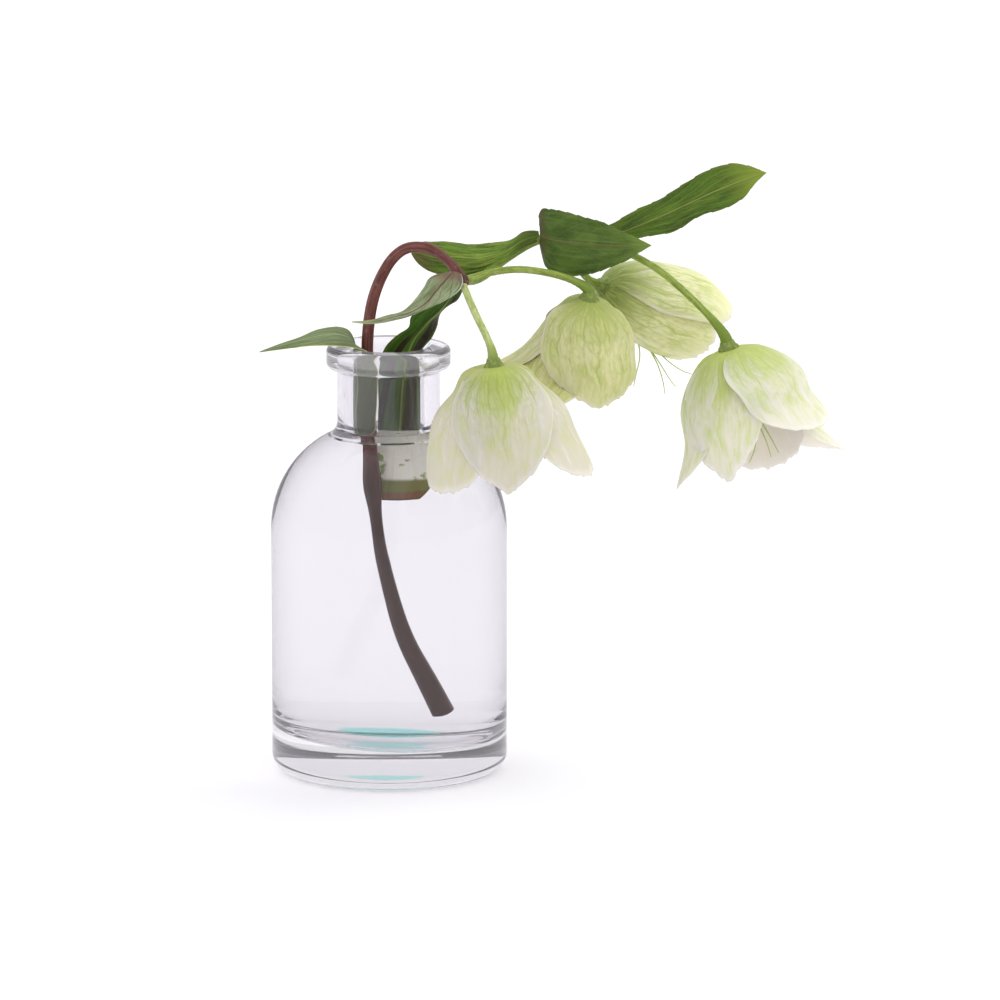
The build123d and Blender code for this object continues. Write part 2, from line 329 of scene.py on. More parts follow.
class Graph:
    """The nodes of a new material, or of another owner, made with short calls."""

    def __init__(self, name, owner=None, output="ShaderNodeOutputMaterial"):
        self.owner = owner or bpy.data.materials.new(name)
        self.owner.use_nodes = True
        self.tree = self.owner.node_tree
        self.tree.nodes.clear()
        self.out = self.tree.nodes.new(output)

    def node(self, kind, inputs=(), **settings):
        node = self.tree.nodes.new(kind)
        for key, value in settings.items():
            setattr(node, key, value)
        for key, value in dict(inputs).items():
            self.set(node.inputs[key], value)
        return node

    def set(self, socket, value):
        if isinstance(value, bpy.types.NodeSocket):
            self.tree.links.new(value, socket)
        else:
            socket.default_value = value

    def surface(self, node):
        self.tree.links.new(node.outputs[0], self.out.inputs[0])
        return self.owner

    def math(self, operation, a, b=0.0):
        return self.node("ShaderNodeMath", {0: a, 1: b}, operation=operation).outputs[0]

    def times(self, a, b):
        return self.math("MULTIPLY", a, b)

    def plus(self, a, b):
        return self.math("ADD", a, b)

    def minus(self, a, b):
        return self.math("SUBTRACT", a, b)

    def smooth(self, value, low, high):
        ends = {"Value": value, "From Min": low, "From Max": high}
        return self.node("ShaderNodeMapRange", ends, interpolation_type="SMOOTHSTEP").outputs[0]

    def falling(self, value, low, high):
        return self.minus(1.0, self.smooth(value, low, high))

    def mix(self, share, a, b):
        return self.node("ShaderNodeMix", {0: share, 6: a, 7: b}, data_type="RGBA").outputs[2]

    def lay(self, under, over, mask, strength):
        """The upper colour over the lower one, where the mask is, at the given strength."""
        return self.mix(self.times(mask, strength), under, over)

    def split(self, vector):
        return tuple(self.node("ShaderNodeSeparateXYZ", {0: vector}).outputs)

    def uv(self):
        return self.split(self.node("ShaderNodeTexCoord").outputs["UV"])[:2]

    def vector(self, x, y, z=0.0):
        return self.node("ShaderNodeCombineXYZ", {0: x, 1: y, 2: z}).outputs[0]

    def noise(self, vector, scale, detail=3.0, roughness=0.5, distortion=0.0):
        return self.node("ShaderNodeTexNoise", {
            "Vector": vector, "Scale": scale, "Detail": detail, "Roughness": roughness,
            "Distortion": distortion}).outputs["Fac"]

    def streaks(self, u, v, along, across, depth, scale, *grain):
        """Noise that is stretched differently along and across a blade."""
        return self.noise(self.vector(self.times(u, along), self.times(v, across), depth), scale, *grain)

    def object_space(self):
        return self.node("ShaderNodeTexCoord").outputs["Object"]

    def cells(self, vector, scale):
        node = self.node("ShaderNodeTexVoronoi", {"Vector": vector, "Scale": scale},
                         feature="DISTANCE_TO_EDGE")
        return node.outputs["Distance"]

    def bump(self, height, strength, distance=0.0002):
        return self.node("ShaderNodeBump", {"Height": height, "Strength": strength,
                                            "Distance": distance}).outputs[0]

    def principled(self, **inputs):
        names = {key.replace("_", " "): value for key, value in inputs.items()}
        return self.surface(self.node("ShaderNodeBsdfPrincipled", names))

    def line(self, value, count, width, wander=None):
        """Thin lines where the value passes each of a number of steps: 1 on a line, 0 off it."""
        turns = self.times(value, count)
        if wander is not None:
            turns = self.plus(turns, wander)
        return self.falling(self.math("PINGPONG", turns, 0.5), 0.0, width)


def glass_material(name, ior, tint, shadow=0.93, edge_shades=None, teal_patch=None, roughness=0.0, haze=0.0):
    """Clear glass. Edge shades are the colours that it darkens to where it is seen edge on, on the body and
    on the shoulder: painted shade, partly standing for the longer path through the glass there. A teal
    patch is (x, y, width, depth) in mm and tints one patch of the base teal. Haze is the share of light
    that the surface scatters."""
    g = Graph(name)
    colour = tint
    x, y, z = g.split(g.object_space())
    if edge_shades:
        # Painted shade: the glass colour darkens where it is seen edge on, and more on the shoulder.
        facing = g.node("ShaderNodeLayerWeight", {"Blend": 0.5}).outputs["Facing"]
        edge = g.mix(g.smooth(z, 0.054, 0.078), *edge_shades)
        colour = g.mix(g.smooth(facing, 0.3, 1.0), tint, edge)
    # Tints one patch of the base teal, fading out at its edge.
    if teal_patch:
        patch_x, patch_y, width, depth = teal_patch
        across = g.times(g.minus(x, patch_x * MM), 1 / (width * MM))
        back = g.times(g.minus(y, patch_y * MM), 1 / (depth * MM))
        away = g.math("SQRT", g.plus(g.times(across, across), g.times(back, back)))
        away = g.plus(away, g.times(g.noise(g.object_space(), 160.0, 2), 0.7))
        here = g.times(g.smooth(away, 1.4, 1.1), g.smooth(z, 0.016, 0.013))
        colour = g.mix(here, colour, TEAL)
    glass = g.node("ShaderNodeBsdfGlass", {"Color": colour, "Roughness": roughness, "IOR": ior})
    if haze:
        milk = g.node("ShaderNodeBsdfDiffuse", {"Color": MILK})
        glass = g.node("ShaderNodeMixShader", {0: haze, 1: glass.outputs[0], 2: milk.outputs[0]})
    clear = g.node("ShaderNodeBsdfTransparent", {"Color": (shadow, shadow, shadow, 1)})
    in_shadow = g.node("ShaderNodeLightPath").outputs["Is Shadow Ray"]
    return g.surface(g.node("ShaderNodeMixShader", {0: in_shadow, 1: glass.outputs[0], 2: clear.outputs[0]}))


def clear_material(name):
    g = Graph(name)
    return g.surface(g.node("ShaderNodeBsdfTransparent", {"Color": (1, 1, 1, 1)}))


def leaf_material(name, greens, veins=5, slant=2.6, vein_share=0.5, streak=0.6, roughness=0.42,
                  rib_width=0.035, tip=None, base=None, base_reach=0.28, shade_bands=(), pale_end=None):
    """A leaf face: mottled greens, long slanting veins, a midrib and a thin coloured margin. A shade band
    is a brown stripe of painted shade: where it starts and ends across, its half width, and where it
    begins and stops along. A pale end is where the leaf turns pale towards its lower end: where it and
    its hem begin, and its four colours."""
    g = Graph(name)
    dark, mid, light, vein, rib, margin = tones(greens)
    u, v = g.uv()
    off = g.math("ABSOLUTE", g.minus(g.times(v, 2.0), 1.0))
    broad = g.streaks(u, v, 3.0, 2.4, 0.0, 1.6, 4, 0.55)
    long_ = g.streaks(u, v, 1.6, 15.0, 4.0, 1.3, 4, 0.6, 0.4)
    speck = g.noise(g.object_space(), 1900.0, 3, 0.6)
    wander = g.times(g.noise(g.vector(g.times(u, 4.0), v), 3.0), 0.5)
    slanted = g.minus(u, g.times(off, slant / veins))
    lines = g.line(slanted, veins, 0.10, wander)
    fine = g.cells(g.vector(g.times(slanted, 26.0), g.times(v, 16.0)), 1.6)
    fine_lines = g.falling(fine, 0.0, 0.10)
    tone = g.mix(g.smooth(broad, 0.32, 0.66), dark, mid)
    tone = g.lay(tone, light, g.smooth(long_, 0.45, 0.72), streak)
    tone = g.lay(tone, light, g.smooth(speck, 0.45, 0.75), 0.18)
    tone = g.lay(tone, vein, fine_lines, 0.10)
    tone = g.lay(tone, vein, lines, vein_share)
    if tip:
        tone = g.lay(tone, rgb(tip), g.smooth(u, 0.72, 1.0), 0.75)
    # A base colour over the leaf's lower end; on the grey leaf it is painted shade, darker inside the neck.
    if base:
        tone = g.lay(tone, rgb(base), g.smooth(u, base_reach, base_reach * 0.3), 0.85)
    # Each shade band is a brown stripe of painted shade along the leaf.
    for start, end, half, begin, stop in shade_bands:
        middle = g.plus(start, g.times(u, end - start))
        apart = g.math("ABSOLUTE", g.minus(v, middle))
        inside = g.falling(apart, half * 0.75, half * 1.1)
        inside = g.times(inside, g.smooth(u, begin, begin + 0.06))
        inside = g.times(inside, g.smooth(u, stop + 0.03, stop))
        tone = g.lay(tone, rgb(SHADE_BROWN), inside, 0.92)
    ribbed = g.falling(off, rib_width * 0.4, rib_width)
    # The leaf turns pale towards its lower end, with blotches and a two-coloured hem.
    if pale_end:
        top, hem_top, colours = pale_end
        pale, blotch, hem, hem_low = tones(colours)
        hem_middle = 0.5 * (1 + hem_top)
        blotches = g.smooth(g.streaks(u, v, 30.0, 3.5, 9.0, 1.2, 3, 0.5), 0.56, 0.66)
        tone = g.mix(g.smooth(u, top - 0.006, top + 0.006), tone, g.mix(blotches, pale, blotch))
        tone = g.mix(g.smooth(u, hem_top - 0.008, hem_top + 0.004), tone, hem)
        tone = g.mix(g.smooth(u, hem_middle, hem_middle + 0.01), tone, hem_low)
        ribbed = g.times(ribbed, g.smooth(u, top + 0.005, top - 0.005))
    tone = g.lay(tone, rib, ribbed, 0.8)
    tone = g.lay(tone, margin, g.smooth(off, 0.955, 0.99), 0.85)
    height = g.plus(g.times(lines, -0.5), g.times(speck, 0.35))
    height = g.plus(height, g.times(fine_lines, -0.25))
    shine = g.plus(roughness - 0.06, g.times(speck, 0.16))
    return g.principled(Base_Color=tone, Roughness=shine, Normal=g.bump(height, 0.35),
                        Subsurface_Weight=0.1, Subsurface_Scale=0.0008,
                        Subsurface_Radius=(0.6, 1.0, 0.3), Specular_IOR_Level=0.22)


def petal_material(name, colours, green_reach, vein_share, patch, vein_reach=0.85, heart=0.0):
    """A sepal face: green at its base, in patches and along its veins, paler to its margin. A heart is
    a second green, down its middle."""
    g = Graph(name)
    base, body, edge, vein, patch_tone = tones(colours)
    u, v = g.uv()
    s = g.minus(g.times(v, 2.0), 1.0)
    off = g.math("ABSOLUTE", s)
    drift = g.streaks(u, v, 3.2, 4.0, 0.0, 1.7, 3, 0.55)
    mottle = g.streaks(u, v, 3.0, 8.0, 2.0, 1.6, 5, 0.66, 0.6)
    fibre = g.streaks(u, v, 2.4, 60.0, 7.0, 1.2, 3, 0.6)
    wander = g.times(g.minus(drift, 0.5), 1.1)
    main = g.line(s, 5.0, 0.16, wander)
    fork = g.line(s, 11.0, 0.22, g.times(wander, 2.3))
    net = g.cells(g.vector(g.times(u, 7.5), g.plus(g.times(v, 15.0), wander)), 1.15)
    net_lines = g.falling(net, 0.0, 0.22)
    fade = g.falling(u, vein_reach * 0.35, vein_reach)
    tone = g.mix(g.smooth(u, 0.04, green_reach), base, body)
    tone = g.lay(tone, patch_tone, g.smooth(mottle, 0.42, 0.68), patch)
    pale = g.times(g.smooth(mottle, 0.44, 0.26), g.smooth(u, 0.1, 0.4))
    tone = g.lay(tone, edge, pale, 0.45)
    lines = g.math("MAXIMUM", main, g.times(fork, 0.6))
    lines = g.math("MAXIMUM", lines, g.times(net_lines, 0.5))
    lines = g.times(lines, g.smooth(mottle, 0.25, 0.6))
    tone = g.lay(tone, vein, g.times(lines, fade), vein_share)
    if heart:
        inside = g.times(g.smooth(g.plus(off, g.times(wander, 0.5)), 0.6, 0.12),
                         g.smooth(g.plus(u, g.times(wander, 0.3)), 0.85, 0.3))
        inside = g.times(inside, g.plus(0.45, g.times(mottle, 0.8)))
        tone = g.lay(tone, base, inside, heart)
    rim = g.times(g.smooth(off, 0.86, 1.0), g.smooth(u, 0.15, 0.6))
    tone = g.lay(tone, edge, rim, 0.6)
    tone = g.lay(tone, edge, g.smooth(u, 0.93, 1.0), 0.5)
    height = g.plus(g.times(lines, 0.5), g.times(fibre, 0.5))
    height = g.plus(height, g.times(mottle, 0.4))
    return g.principled(Base_Color=tone, Roughness=0.55, Normal=g.bump(height, 0.30, 0.00025),
                        Subsurface_Weight=0.35, Subsurface_Scale=0.0015,
                        Subsurface_Radius=(1.0, 0.9, 0.6), Specular_IOR_Level=0.3)


def stem_material(name, colours, scale=1.75, end=None, start=None):
    """A stalk's skin: streaks along it, fine specks and a change of colour towards one end, given as
    the colour and where the change begins or ends."""
    g = Graph(name)
    dark, light, speck_tone = tones(colours)
    u, v = g.uv()
    turn = g.times(v, 2 * pi)
    around = g.vector(g.math("COSINE", turn), g.math("SINE", turn), g.times(u, 6.0))
    long_ = g.noise(around, scale, 4, 0.6)
    speck = g.noise(g.object_space(), 620.0, 2, 0.5)
    blotch = g.noise(g.object_space(), 220.0, 3, 0.5)
    tone = g.mix(g.smooth(long_, 0.35, 0.65), dark, light)
    tone = g.lay(tone, dark, g.smooth(blotch, 0.4, 0.7), 0.4)
    tone = g.lay(tone, speck_tone, g.smooth(speck, 0.55, 0.75), 0.3)
    if end:
        tone = g.mix(g.smooth(u, end[1], 1.0), tone, rgb(end[0]))
    if start:
        tone = g.lay(tone, rgb(start[0]), g.smooth(u, start[1], start[1] * 0.7), 0.8)
    height = g.plus(g.times(long_, 0.8), g.times(speck, 0.3))
    return g.principled(Base_Color=tone, Roughness=0.5, Normal=g.bump(height, 0.25),
                        Subsurface_Weight=0.1, Subsurface_Scale=0.0008, Specular_IOR_Level=0.3)


def organ_material(name, colours):
    g = Graph(name)
    root, top = tones(colours)
    speck = g.noise(g.object_space(), 2500.0, 2, 0.5)
    tone = g.mix(g.smooth(g.uv()[0], 0.1, 0.9), root, top)
    tone = g.lay(tone, root, speck, 0.2)
    return g.principled(Base_Color=tone, Roughness=0.45, Normal=g.bump(speck, 0.2),
                        Subsurface_Weight=0.2, Subsurface_Scale=0.0008)


GLASS_TINT = (0.930, 0.924, 0.933, 1)
# Painted shade: the darker glass colours seen edge on, on the body and on the shoulder.
GLASS_EDGE_SHADE = (0.74, 0.73, 0.745, 1)
CROWN_EDGE_SHADE = (0.60, 0.585, 0.605, 1)
NECK_TINT = (0.900, 0.890, 0.905, 1)
LIP_TINT = (0.94, 0.93, 0.945, 1)
FOOT_TINT = (0.925, 0.915, 0.930, 1)
WATER_TINT = (0.99, 0.99, 1.0, 1)
TEAL = (0.46, 0.84, 0.80, 1)
MILK = (0.93, 0.92, 0.94, 1)
GLASS_BODY = glass_material("body_glass", 1.5, GLASS_TINT, edge_shades=(GLASS_EDGE_SHADE, CROWN_EDGE_SHADE))
GLASS_NECK = glass_material("neck_glass", 1.42, NECK_TINT, roughness=0.02, haze=0.01)
GLASS_LIP = glass_material("lip_glass", 1.42, LIP_TINT, roughness=0.04, haze=0.12)
GLASS_HEEL = glass_material("heel_glass", 1.45, FOOT_TINT, roughness=0.04, haze=0.09)
# The foot and the glass against the water each tint one patch of the base teal.
GLASS_FOOT = glass_material("foot_glass", 1.45, FOOT_TINT, roughness=0.04, haze=0.04,
                            teal_patch=(-0.5, -10.0, 11.0, 4.0))
GLASS_AT_WATER = glass_material("glass_against_water", 1.128, GLASS_TINT, 0.97, teal_patch=(-0.5, 9.0, 8.5, 7.5))
WATER_TOP = glass_material("water_surface", 1.333, WATER_TINT, 0.98)
WATER_SIDES = clear_material("water_sides")

STEM_MAROON = stem_material("stem_maroon_skin", "50271f 7c4a42 a5887c", 2.25, start=("3b2c28", 0.52))
STEM_GREEN = stem_material("stem_green_skin", "5f7a2a 8fa050 b8c088")
STALK_PALE = stem_material("stalk_pale_skin", "93a356 bcc488 d8dab4", end=("76883a", 0.72))
STALK_GREEN = stem_material("stalk_green_skin", "6f8430 96a650 c0c890", end=("6b822c", 0.6))

# Each leaf's greens are its dark, middle and light tones, its veins, its midrib and its margin.
GREEN_TOP = leaf_material("leaf_green_top", "31470f 4c6818 6f8a28 7f9640 8f8f4c 6c6428", slant=3.0,
                          streak=0.45, vein_share=0.35, tip="8c9c38", base="7d8c34")
GREEN_LOW = leaf_material("leaf_green_low", "5a7636 7b9a50 9ab06a a9b87a b3ac72 8a7a42", slant=3.0)
LONG_TOP = leaf_material("leaf_long_top", "38560f 5d7f24 a0ae50 a6b55c 7f8c3c 6d4a34", veins=4,
                         slant=3.4, streak=0.75, vein_share=0.3, base="46561c", tip="6d5a36")
BROAD_TOP = leaf_material("bract_broad_top", "35490f 4d6520 66803a 6a8448 7a6248 5a5a34", veins=6,
                          streak=0.5, vein_share=0.16, rib_width=0.022, tip="76903c", base="4c4826",
                          base_reach=0.12)
# The brown of the painted shade bands.
SHADE_BROWN = "2c1c12"
# The dark leaf's brown bands are painted shade: the shaded half of the folded leaf and the dark line along
# its fold.
DARK_TOP = leaf_material("leaf_dark_top", "263f06 3c5f10 527a1c 5d8028 8a9448 4a3a1c", veins=4,
                         slant=3.2, rib_width=0.06,
                         shade_bands=[(0.86, 0.62, 0.155, 0.05, 0.74), (0.62, -0.22, 0.08, 0.30, 0.74)],
                         pale_end=(0.725, 0.945, "eeecdf 93a462 7f7d4c 85604f"))
# The dark leaf's underside: its own brown, darkened to near black as painted shade on the shaded half of the
# folded leaf.
DARK_SHADED_LOW = leaf_material("leaf_dark_low_painted_shade", "2a160d 3f241a 4c5a24 5a4a30 7d8440 3a2018", veins=4,
                         slant=3.2, rib_width=0.06, streak=0.3)
# The grey leaf's base colour is painted shade: its part down inside the neck is darker and browner.
GREY_TOP = leaf_material("leaf_grey_top", "5c6b3e 72825a 8a9870 98a27c b4b790 c4bd7c", slant=3.0,
                         streak=0.4, roughness=0.6, base="545a40", base_reach=0.62)
PALE_TOP = leaf_material("bract_pale_top", "66744a 929c76 b4bba0 4c5834 62342f efeaea", veins=6,
                         slant=2.2, streak=0.7, vein_share=0.6, roughness=0.6, rib_width=0.09,
                         tip="a9b27c", base="6e5548", base_reach=0.16)

# Each sepal's colours are its base, its body, its margin, its veins and its patches.
CREAM = petal_material("sepal_cream_outside", "a1a75c c6c1b2 e2dbd2 939c50 bcc284", 0.55, 0.50, 0.6)
CREAM_SUNNY = petal_material("sepal_cream_sunlit", "a6b456 d8d5c3 e7e2dc 9cab54 bccb7e", 0.7, 0.62, 0.7,
                             heart=0.35)
CREAM_HEART = petal_material("sepal_cream_green_heart", "9fae4c c6c1b2 dbd5ce 7f8b38 b6be76", 0.55, 0.75,
                             0.5, heart=0.65)
CREAM_IN = petal_material("sepal_cream_inside", "b9c57c ddd6cc e8e1da c2cb94 d4d6ac", 0.4, 0.25, 0.25)
LIME = petal_material("sepal_green_outside", "959f50 cccb98 ddd2c2 8d9650 b4be6c", 0.6, 0.68, 0.75,
                      vein_reach=1.2)
# A brighter copy of the green sepal for the third flower: painted light, making up for the shade it gets
# from facing sideways.
LIME_PAINTED_LIT = petal_material("sepal_green_outside_painted_light", "76863a e0e0ae eadfd0 8f9c4c c2cc7c", 0.5, 0.66,
                            0.7, vein_reach=1.2)
LIME_IN = petal_material("sepal_green_inside", "a3b45a d2d6a6 e2dcc8 a9b66c c3cd88", 0.6, 0.3, 0.3)
BUTTON = stem_material("receptacle_skin", "6a7c34 8c9a54 b6bc84")
NECTARY = organ_material("nectary_skin", "a9bf5c 8fae3c")
STAMEN = organ_material("stamen_skin", "e6e6c4 efe3a8")
STYLE = organ_material("style_skin", "b3c46c 9dbb3f")


def place(thing, body, slot, *replaced):
    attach(thing, body)
    if replaced:
        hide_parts(*replaced)
    return thing


# ---- glass and water ----


def shoulder_z(radius, below=0.0):
    return SHOULDER_TOP_Z - below - tan(radians(SHOULDER_SLOPE)) * (radius - NECK_RADIUS)


def rounded_outline(corners):
    """Straight runs with a true arc at each corner: (radius, height, rounding)."""
    points = [np.array(corners[0][:2], float)]
    for before, corner, after in zip(corners, corners[1:], corners[2:]):
        p, rounding = np.array(corner[:2], float), corner[2]
        a = unit(np.array(before[:2], float) - p)
        b = unit(np.array(after[:2], float) - p)
        half = np.arccos(np.clip(a @ b, -1, 1)) / 2
        reach = rounding / tan(half)
        centre = p + unit(a + b) * rounding / sin(half)
        first, last = p + a * reach - centre, p + b * reach - centre
        sweep = np.arccos(np.clip(unit(first) @ unit(last), -1, 1))
        steps = max(6, int(sweep / radians(4)))
        for t in shares(steps + 1):
            points.append(centre + (sin((1 - t) * sweep) * first + sin(t * sweep) * last) / sin(sweep))
    points.append(np.array(corners[-1][:2], float))
    return np.array(points)


DROP = SHOULDER_WALL / cos(radians(SHOULDER_SLOPE))
INNER = BODY_RADIUS - WALL
OUTSIDE = [
    (0.02, PUNT_RISE, 0), (PUNT_RADIUS, PUNT_RISE, 6.0), (FOOT_INNER_RADIUS, 0, 0.8),
    (BODY_RADIUS, 0, HEEL_RADIUS), (BODY_RADIUS, shoulder_z(BODY_RADIUS), SHOULDER_RADIUS),
    (NECK_RADIUS, SHOULDER_TOP_Z, 4.0), (NECK_RADIUS, HEIGHT - LIP_HEIGHT, 0.9),
    (LIP_RADIUS, HEIGHT - LIP_HEIGHT, 1.5), (LIP_RADIUS, HEIGHT, 1.5), (BORE_RADIUS, HEIGHT, 1.9),
    (BORE_RADIUS, BORE_SPLIT_Z, 0),
]
INSIDE = [
    (BORE_RADIUS, BORE_SPLIT_Z, 0), (BORE_RADIUS, shoulder_z(BORE_RADIUS, DROP), 3.0),
    (INNER, shoulder_z(INNER, DROP), SHOULDER_RADIUS - WALL), (INNER, FLOOR_Z, 5.0), (0.02, FLOOR_Z, 0),
]


def divided(outline, longest=1.5):
    """The same outline with its long straight runs cut into short ones."""
    points = [outline[0]]
    for a, b in zip(outline, outline[1:]):
        steps = max(1, int(np.ceil(np.linalg.norm(b - a) / longest)))
        points += [a + (b - a) * k / steps for k in range(1, steps + 1)]
    return np.array(points)


def lathe(sheets, outline, steps=LATHE_STEPS, kind=0, flip=False, shape=None):
    """Turns an outline about Z; the shape, if there is one, then bends the grid."""
    turn = full_turn(steps)
    grid = np.stack(np.broadcast_arrays(outline[:, :1] * np.cos(turn), outline[:, :1] * np.sin(turn),
                                        outline[:, 1:]), -1)
    if shape:
        grid = shape(grid)
    sheets.patch(grid, uv_grid(shares(len(outline)), turn / (2 * pi)), wrap=True, flip=flip, kind=kind)


def uneven_floor(grid):
    x, y, z = np.moveaxis(grid, -1, 0)
    near_floor = np.exp(-((z - FLOOR_Z) / FLOOR_REACH)**2)
    return np.stack([x, y, z + near_floor * (FLOOR_TILT * x + FLOOR_DISH * np.hypot(x, y)**2)], -1)


def water_line(outline, level):
    """Splits the cavity's outline at the water level: the part above, and the part below."""
    i = next(k for k in range(len(outline) - 1) if outline[k][1] > level >= outline[k + 1][1])
    t = (outline[i][1] - level) / (outline[i][1] - outline[i + 1][1])
    cut = outline[i] + (outline[i + 1] - outline[i]) * t
    return np.vstack([outline[:i + 1], cut]), np.vstack([cut, outline[i + 1:]])


outer = divided(rounded_outline(OUTSIDE))
dry, wet = water_line(divided(rounded_outline(INSIDE)), WATER_Z)
whole = np.vstack([outer, dry[1:]])
radius, z = whole.T
foot_end = int(np.argmax(radius > FOOT_INNER_RADIUS))
heel_end = int(np.argmax(z > HEEL_TOP_Z))
body_end = int(np.argmax(z > SHOULDER_TOP_Z - 0.5))
lip_from = int(np.argmax(z > HEIGHT - LIP_HEIGHT))
lip_end = len(whole) - int(np.argmax(z[::-1] > HEIGHT - LIP_HEIGHT)) - 1
sheets = Sheets()
cuts = [0, foot_end, heel_end, body_end, lip_from, lip_end, len(whole) - 1]
for first, last, kind in zip(cuts, cuts[1:], [FOOT, HEEL, BODY, NECK, LIP, NECK]):
    lathe(sheets, whole[first:last + 1], kind=kind)
lathe(sheets, wet, kind=AT_WATER, shape=uneven_floor)
bottle = sheets.make("bottle_glass", [GLASS_BODY, GLASS_NECK, GLASS_HEEL, GLASS_FOOT, GLASS_AT_WATER,
                                      GLASS_LIP])
weld = bmesh.new()
weld.from_mesh(bottle.data)
bmesh.ops.remove_doubles(weld, verts=weld.verts, dist=WELD_DISTANCE)
weld.to_mesh(bottle.data)
weld.free()
place(bottle, "vase", "clear_glass", "glass_bottle")

edge_radius = wet[0][0] - WATER_GAP
share = np.concatenate([[0], np.linspace(0.05, 1, 24)])
climb = MENISCUS * np.exp(-(1 - share) * edge_radius / MENISCUS_REACH)
top_rows = np.stack([share * edge_radius, WATER_Z - MENISCUS * 0.55 + climb * 0.5], -1)
top_rows[0] = 0.02, WATER_Z - MENISCUS * 0.55
side_rows = wet.copy()
side_rows[:, 0] = np.maximum(side_rows[:, 0] - WATER_GAP, 0.02)
side_rows[-8:, 1] += WATER_GAP
side_rows[0] = top_rows[-1]
sheets = Sheets()
lathe(sheets, top_rows, WATER_STEPS, flip=True)
lathe(sheets, side_rows, WATER_STEPS, kind=1, flip=True)
place(sheets.make("water_fill", [WATER_TOP, WATER_SIDES]), "vase", "water")

# ---- stem and branch ----

stem_line = rounded_route(STEM_ROUTE, 260)
stem_radii = through(STEM_SHARES, np.array(STEM_RADII)[:, None], shares(len(stem_line)))[:, 0]
for name, line, radii, sides, node, node_radius, skin, slot, replaced in (
        ("stem_skin", stem_line, stem_radii, 28, LOWER_NODE, 1.9, STEM_MAROON, "stem_maroon", "main_stem"),
        ("branch_skin", rounded_route(BRANCH_ROUTE, 110), 1.1, 20, UPPER_NODE, 1.6, STEM_GREEN,
         "stem_green", "side_branch")):
    sheets = Sheets()
    add_tube(sheets, line, radii, sides, ribs=5, rib_depth=0.05, lumps=0.0015)
    add_ball(sheets, node, (node_radius, node_radius), steps=12)
    place(sheets.make(name, [skin]), "sprig", slot, replaced)

# ---- leaves ----


def leaf(name, rows, materials, ripple, fold, rib=0.2, teeth=0, tooth=0.0):
    """A leaf from rows of three points across it: one margin, the midrib, the other margin. Fold
    bends it at the midrib, ripple waves its margins and the teeth are cut into them."""
    rows = np.asarray(rows, float)
    u = shares(LEAF_ROWS)
    left, middle, right = (through(chord_knots(rows[:, 1]), rows[:, i], u) for i in range(3))
    s = np.sin(np.linspace(-1, 1, BLADE_COLUMNS) * pi / 2)
    weights = np.stack([s * (s - 1) / 2, 1 - s**2, s * (s + 1) / 2])
    curve = np.einsum("irk,ic->rck", np.stack([left, middle, right]), weights)
    side = np.where((s < 0)[None, :, None], left[:, None], right[:, None])
    off = np.abs(s)
    flat = middle[:, None] + (side - middle[:, None]) * off[None, :, None]
    grid = curve * (1 - fold) + flat * fold
    u = u[:, None]
    if teeth:
        cut = tooth * (u * teeth % 1.0) * off**10 * (u > 0.12)
        width = np.linalg.norm(side - middle[:, None], axis=-1)
        grid = grid - unit(side - middle[:, None]) * np.minimum(cut, 0.3 * width)[..., None]
    normal = unit(slopes_crossed(grid))
    limit = np.clip(np.linalg.norm(right - left, axis=1)[:, None] / 6, 0, 1)
    sway = ripple * np.sin(2 * pi * LEAF_WAVES * u + (s > 0) * 1.9)
    grid = grid + normal * (sway * off**2.5 * limit)[..., None]
    turns = u * VEINS - off * VEIN_SLANT
    furrow = np.exp(-(np.abs(turns % 1.0 - 0.5) / 0.13)**2)
    grid = grid - normal * (VEIN_DEPTH * furrow * np.clip(off / 0.2, 0, 1) * limit)[..., None]
    return blade_object(name, grid, s, materials, rib)


LEAF_OVER_RIM = [
    ((-7.8, -1.8, 83.6), (-6.6, -3, 83.2), (-4.6, -4.2, 83.4)),
    ((-8.3, -1.4, 85.2), (-6.8, -3.8, 84.8), (-3.4, -5.4, 85)),
    ((-8.4, -1.2, 90), (-6.8, -4.6, 89.8), (-2.7, -6.4, 90)),
    ((-8.4, -1, 98), (-6.4, -5, 98), (-2.4, -6.9, 97.6)),
    ((-8.4, 0.4, 104), (-7, -3.8, 103.4), (-2.6, -6.9, 102.6)),
    ((-8.4, 1.8, 106.6), (-8, -2.2, 105.8), (-4.4, -6.6, 105.4)),
    ((-9.6, 2.2, 109.2), (-9.6, -2.2, 107.9), (-7.8, -6.8, 106.5)),
    ((-12.2, 1.6, 110.4), (-12.2, -3, 109), (-11.8, -7.6, 107)),
    ((-16.6, -1.2, 110.2), (-16.4, -4.6, 109), (-15.8, -8.6, 107.2)),
    ((-21, -5, 108.9), (-20.8, -7, 108.4), (-20.4, -9.2, 107.3)),
    ((-26.2, -9.4, 108), (-26, -10.4, 107.6), (-25.6, -11.2, 106.9)),
    ((-31, -13, 106.7), (-31.1, -13.1, 106.6), (-31, -13.2, 106.5)),
]
